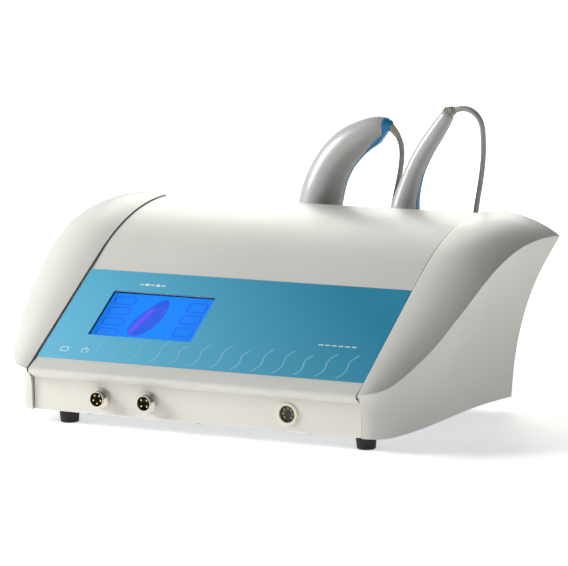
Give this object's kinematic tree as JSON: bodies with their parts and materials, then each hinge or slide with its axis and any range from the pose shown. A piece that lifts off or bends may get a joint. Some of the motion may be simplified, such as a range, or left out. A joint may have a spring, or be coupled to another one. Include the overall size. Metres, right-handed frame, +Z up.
{
  "type": "physiotherapy heat therapy console",
  "caption": "Desk-top therapy console with a sloping printed panel, display, front sockets and two corded handpieces standing in a rear holder.",
  "frame": {"origin": "on the surface the feet stand on, under the middle of the object's box without its free cords", "axes": "+X to the right seen from the front, +Y from the fascia to the back panel, +Z up"},
  "size_m": [0.5306, 0.389, 0.29],
  "materials": {
    "shell": "satin painted plastic",
    "fascia": "satin cream plastic",
    "gasket": "matt",
    "zinc_sheet": "satin grey powder coat",
    "circuit_board": "solder mask",
    "cast_aluminium": "extruded, satin",
    "brass_post": "turned",
    "zinc_screw": "zinc plated",
    "winding_tape": "polyester tape",
    "overlay_print": "printed polyester, satin",
    "glass_cover": "clear",
    "display_glow": "back-lit blue",
    "dark_plastic": "fine moulded grain",
    "nickel": "satin nickel",
    "contact_metal": "plated",
    "ivory_plastic": "satin",
    "foot_rubber": "matt",
    "bright_wire": "bright",
    "holder_plastic": "satin",
    "handpiece_shell": "satin gloss",
    "blue_plastic": "glossy",
    "polished_steel": "polished",
    "relief_rubber": "ribbed, satin",
    "cord_jacket": "smooth, satin"
  },
  "bodies": {
    "console": {"hood": "shell", "fascia": "fascia", "right_cheek": "shell", "left_cheek": "shell", "seam_gaskets": "gasket", "base_plate": "zinc_sheet", "main_board": "circuit_board", "drive_board": "circuit_board", "heatsink": "cast_aluminium", "standoffs": "brass_post", "board_screws": "zinc_screw", "transformer": "winding_tape", "transformer_clamp": "zinc_sheet", "transformer_bolt": "zinc_screw", "power_supply": "zinc_sheet", "overlay": "overlay_print", "touch_glass": "glass_cover", "display_frame": "dark_plastic", "display_pane": "display_glow", "display_board": "circuit_board", "socket_shells": "nickel", "socket_inserts": "dark_plastic", "contact_pins": "contact_metal", "socket_nuts": "nickel", "round_socket_ring": "ivory_plastic", "round_socket_core": "dark_plastic", "feet": "foot_rubber", "rear_panel": "zinc_sheet", "fan_frame": "dark_plastic", "fan_guard": "bright_wire", "fan_screws": "zinc_screw", "power_inlet": "dark_plastic", "inlet_blades": "contact_metal", "holder_rack": "holder_plastic", "case_screws": "zinc_screw", "rack_and_foot_screws": "zinc_screw", "plug_shells": "nickel", "plug_cores": "dark_plastic", "large_cord": "cord_jacket", "large_coil": "cord_jacket", "slim_cord": "cord_jacket", "slim_coil": "cord_jacket"},
    "large_handpiece": {"large_front_shell": "handpiece_shell", "large_rear_shell": "handpiece_shell", "large_blue_inlay": "blue_plastic", "large_head": "dark_plastic", "large_electrode": "polished_steel", "large_matching_coil": "winding_tape", "large_strain_relief": "relief_rubber"},
    "slim_handpiece": {"slim_front_shell": "handpiece_shell", "slim_rear_shell": "handpiece_shell", "slim_blue_inlay": "blue_plastic", "slim_head": "dark_plastic", "slim_electrode": "polished_steel", "slim_matching_coil": "winding_tape", "slim_strain_relief": "relief_rubber"},
    "fan_rotor": {"fan_rotor": "dark_plastic"},
    "power_rocker": {"rocker": "dark_plastic"},
    "fuse_drawer": {"fuse_drawer": "dark_plastic", "fuse": "glass_cover"}
  },
  "joints": [
    {"name": "large_handpiece_lift", "type": "slide", "parent": "console", "child": "large_handpiece", "axis": [0, 0, 1], "range_m": [0, 0.07], "deforming": ["large_cord"]},
    {"name": "slim_handpiece_lift", "type": "slide", "parent": "console", "child": "slim_handpiece", "axis": [0, 0, 1], "range_m": [0, 0.04], "deforming": ["slim_cord"]},
    {"name": "fan_spin", "type": "hinge", "parent": "console", "child": "fan_rotor", "pos_m": [-0.112, 0.08353, 0.09333], "axis": [0, 0.9796, -0.2008], "continuous": true},
    {"name": "power_rocker_tilt", "type": "hinge", "parent": "console", "child": "power_rocker", "pos_m": [0.118, 0.0834, 0.08723], "axis": [1, 0, 0], "range_deg": [-8, 8]},
    {"name": "fuse_drawer_slide", "type": "slide", "parent": "console", "child": "fuse_drawer", "axis": [0, 0.9796, -0.2008], "range_m": [0, 0.012]}
  ]
}
